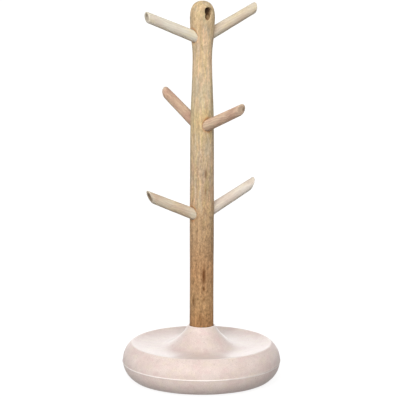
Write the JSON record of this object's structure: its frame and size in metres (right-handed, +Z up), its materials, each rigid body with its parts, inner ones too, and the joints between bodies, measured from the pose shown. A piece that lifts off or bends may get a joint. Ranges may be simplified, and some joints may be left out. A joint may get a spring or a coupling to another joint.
{
  "type": "mug tree",
  "caption": "Turned wooden post with a waisted neck and a rounded, pierced head, carrying slanted wooden pegs in crossed pairs, set in a round cast stone base with a flared collar.",
  "frame": {"origin": "on the worktop, under the middle of the base; the rubber feet's undersides lie at z = 0", "axes": "+Z up along the post; the upper and lower pegs point along X, the middle pegs and the eye through the head along Y"},
  "size_m": [0.151, 0.151, 0.3656],
  "materials": {
    "post_wood": "oiled light hardwood, satin",
    "peg_wood": "pale sanded hardwood, matt",
    "blush_stone": "smooth cast stone, matt",
    "zinc_steel": "zinc plated",
    "foot_rubber": "matt rubber"
  },
  "bodies": {
    "root": {"post": "post_wood", "peg_upper_left": "peg_wood", "peg_upper_right": "peg_wood", "peg_middle_front": "peg_wood", "peg_middle_back": "peg_wood", "peg_lower_left": "peg_wood", "peg_lower_right": "peg_wood", "base": "blush_stone", "base_bolt": "zinc_steel", "base_washer": "zinc_steel", "post_insert": "zinc_steel", "rubber_foot_1": "foot_rubber", "rubber_foot_2": "foot_rubber", "rubber_foot_3": "foot_rubber", "rubber_foot_4": "foot_rubber"}
  },
  "joints": []
}
